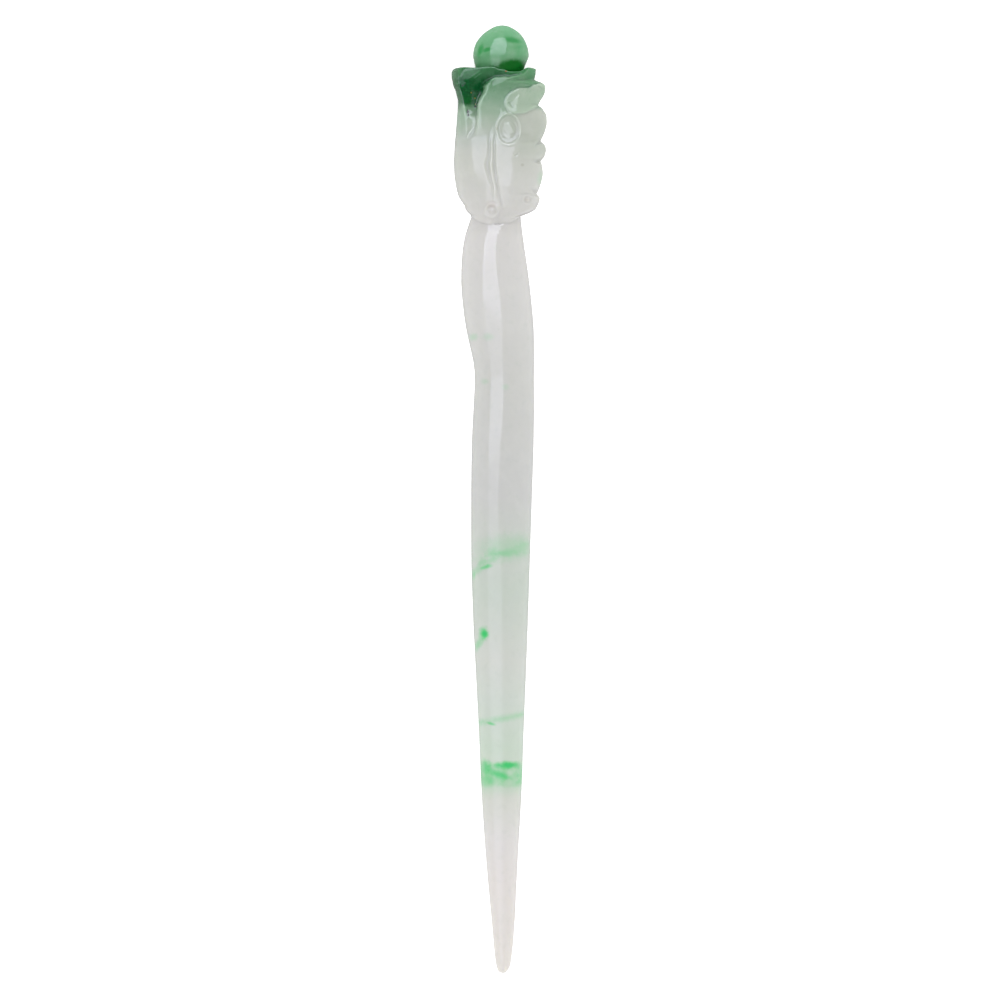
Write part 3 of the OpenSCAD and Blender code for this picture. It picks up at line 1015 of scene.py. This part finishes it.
# Loose green clouds and marks: middle, half sizes, edge, turn, strength
marks = [
    ((1.8, -52.1), (4.2, 1.7), 0.80, 4.0, 0.20),
    ((0.9, -53.1), (2.0, 0.45), 0.85, 5.0, 0.32),
    ((4.0, -52.2), (1.5, 0.9), 0.80, 0.0, 0.14),
    ((-1.2, -53.0), (1.0, 0.6), 0.90, 20.0, 0.22),
    ((-2.1, -55.2), (0.75, 0.30), 0.80, 15.0, 0.66),
    ((-1.3, -54.2), (1.2, 0.40), 0.90, 20.0, 0.26),
    ((-2.8, -54.5), (0.6, 0.45), 0.80, 40.0, 0.30),
    ((-3.5, -55.8), (1.0, 0.5), 0.80, 35.0, 0.24),
    ((-4.2, -56.6), (0.35, 0.6), 0.80, 0.0, 0.50),
    ((-2.5, -65.75), (0.62, 0.85), 0.80, 0.0, 0.82),
    ((-2.3, -65.8), (0.35, 0.50), 0.80, 0.0, 0.80),
    ((-3.3, -67.3), (0.8, 0.5), 0.80, 50.0, 0.45),
    ((-3.8, -68.0), (0.45, 0.7), 0.80, 0.0, 0.45),
    ((-1.3, -80.0), (0.60, 0.20), 0.80, -15.0, 0.60),
    ((-2.7, -86.8), (1.1, 1.0), 0.70, 0.0, 0.95),
    ((1.5, -86.55), (1.9, 0.50), 0.75, 0.0, 0.95),
    ((0.1, -88.1), (1.6, 0.46), 0.80, -16.0, 0.72),
    ((-2.2, -89.3), (1.0, 0.8), 0.80, 0.0, 0.40),
    ((-4.1, -19.0), (0.6, 0.5), 0.80, 0.0, 0.20),
    ((-1.8, -19.0), (0.7, 0.5), 0.90, 0.0, 0.14),
    ((-2.3, -26.0), (0.5, 0.4), 0.90, 0.0, 0.14),
    ((0.98, -26.9), (0.5, 0.4), 0.80, 0.0, 0.12),
    ((6.6, 5.9), (0.5, 1.0), 0.90, 0.0, 0.16),
]
on_front = eased(height_mm, -1.5, 1.5)
for middle_place, half, edge, turn, amount in marks:
    mark = times(patch(middle_place, half, edge, 0.7, turn), on_front)
    colour = painted(colour, times(mark, amount), vein_green)

# Fine inclusions, black and golden in the cleft, rusty and grey elsewhere: middle, half
# sizes, strength, colour
black_grain, gold_grain = (0.020, 0.022, 0.012), (0.420, 0.330, 0.120)
rust_grain, grey_grain = (0.300, 0.090, 0.020), (0.330, 0.330, 0.250)
grains = [
    ((-4.96, 16.45), (0.17, 0.28), 1.0, black_grain),
    ((-4.90, 15.92), (0.15, 0.22), 1.0, black_grain),
    ((-3.78, 17.30), (0.18, 0.14), 1.0, black_grain),
    ((-4.42, 19.50), (0.12, 0.11), 0.8, gold_grain),
    ((-3.86, 18.64), (0.14, 0.11), 0.8, gold_grain),
    ((-3.77, 17.68), (0.11, 0.11), 0.7, gold_grain),
    ((1.03, 22.76), (0.16, 0.12), 0.8, rust_grain),
    ((3.64, 8.00), (0.26, 0.22), 0.3, grey_grain),
    ((-0.40, 13.70), (0.14, 0.22), 0.4, grey_grain),
    ((-1.25, 1.70), (0.70, 0.55), 0.10, rust_grain),
    ((4.35, 2.60), (0.45, 0.35), 0.07, rust_grain),
]
for middle_place, half, amount, stain in grains:
    grain_mark = times(patch(middle_place, half, 0.5, 0.2), on_front)
    colour = painted(colour, times(grain_mark, amount), stain)

# The polish is a little uneven, over a faint grain
roughness = spread(cloud(1.3, 4.0, 21.0), 0.3, 0.7, 0.03, 0.06)
grain = cloud(3.2, 4.0, 23.0, 0.6)
bump = node("ShaderNodeBump", Strength=0.05, Distance=0.00003, Height=grain)
stone = node(
    "ShaderNodeBsdfPrincipled",
    {"subsurface_method": "RANDOM_WALK"},
    Base_Color=colour,
    Roughness=roughness,
    IOR=1.66,
    Normal=bump.outputs["Normal"],
    Subsurface_Weight=1.0,
    Subsurface_Radius=(1.0, 1.0, 0.9),
    Subsurface_Scale=0.0008,
)
node("ShaderNodeOutputMaterial", Surface=stone.outputs["BSDF"])
jade_mesh.materials.append(jade)

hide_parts("hairpin")
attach(hairpin, "root")


# Table and light. A white table in a bright tent, and a long softbox to the upper left of
# the camera, which reflects as one clear strip along the polished shaft.
table_half = 1.6
table_mesh = bpy.data.meshes.new("table")
bm = bmesh.new()
bmesh.ops.create_grid(bm, x_segments=1, y_segments=1, size=table_half)
bm.to_mesh(table_mesh)
bm.free()
table = put_in_scene("table", table_mesh)
table.visible_glossy = False
paper = bpy.data.materials.new("white_paper")
tree = empty_tree(paper)
white = node("ShaderNodeBsdfDiffuse", Color=(0.93, 0.93, 0.93, 1.0))
glow = node("ShaderNodeEmission", Color=(1.0, 1.0, 1.0, 1.0), Strength=0.50)
lit = node("ShaderNodeAddShader", i0=white.outputs[0], i1=glow.outputs[0])
node("ShaderNodeOutputMaterial", Surface=lit.outputs[0])
paper.cycles.emission_sampling = "NONE"
table_mesh.materials.append(paper)

# The softbox hangs level and slantwise, and its lower half is dimmer. Its corners are given
# in steps of its height.
softbox_height = 0.50
softbox_corners = [(-1.0, -0.6), (-0.12, -0.6), (0.2, 0.0), (0.54, 0.9), (0.6, 3.2), (-1.15, 3.2)]
softbox_mesh = bpy.data.meshes.new("softbox")
bm = bmesh.new()
corners = [
    bm.verts.new((across * softbox_height, along * softbox_height, softbox_height))
    for across, along in softbox_corners
]
bm.faces.new(corners)
bm.to_mesh(softbox_mesh)
bm.free()
softbox = put_in_scene("softbox", softbox_mesh)
for ray in ("camera", "diffuse", "transmission", "volume_scatter", "shadow"):
    setattr(softbox, "visible_" + ray, False)
cloth = bpy.data.materials.new("softbox_cloth")
tree = empty_tree(cloth)
cloth_place = node("ShaderNodeSeparateXYZ", i0=node("ShaderNodeTexCoord").outputs["Object"])
bright = spread(cloth_place.outputs["Y"], -0.014, -0.002, 0.85, 1.65)
far_end = spread(cloth_place.outputs["Y"], 0.10, 0.25, 0.0, 0.85)
strength = math_of("ADD", bright, far_end)
glow = node("ShaderNodeEmission", Color=(0.97, 0.97, 1.16, 1.0), Strength=strength)
node("ShaderNodeOutputMaterial", Surface=glow.outputs[0])
cloth.cycles.emission_sampling = "NONE"
softbox_mesh.materials.append(cloth)

# The tent is a little dimmer towards the horizon and below it
studio = bpy.data.worlds.new("studio")
tree = empty_tree(studio)
sky = node("ShaderNodeSeparateXYZ", i0=node("ShaderNodeTexCoord").outputs["Generated"])
tent = spread(sky.outputs["Z"], -0.2, 0.5, 0.54, 1.09)
reflected = spread(sky.outputs["Z"], -0.6, 0.15, 0.35, 0.12)
is_reflection = node("ShaderNodeLightPath").outputs["Is Glossy Ray"]
strength = node("ShaderNodeMix", i0=is_reflection, i2=tent, i3=reflected)
air = node("ShaderNodeBackground", Color=(1.0, 1.0, 1.0, 1.0), Strength=strength.outputs[0])
node("ShaderNodeOutputWorld", Surface=air.outputs[0])
bpy.context.scene.world = studio

# The camera looks straight down, with the pin upright in the frame
view_height = 0.15806
focus_height = 0.0056
camera_height = 0.90
camera_across = 0.00010
film_width = 36.0
camera = put_in_scene("camera", bpy.data.cameras.new("camera"))
camera.data.sensor_width = film_width
camera.data.lens = film_width * (camera_height - focus_height) / view_height
camera.location = (camera_across, 0.0, camera_height)
bpy.context.scene.camera = camera
bpy.context.scene.view_settings.view_transform = "Standard"
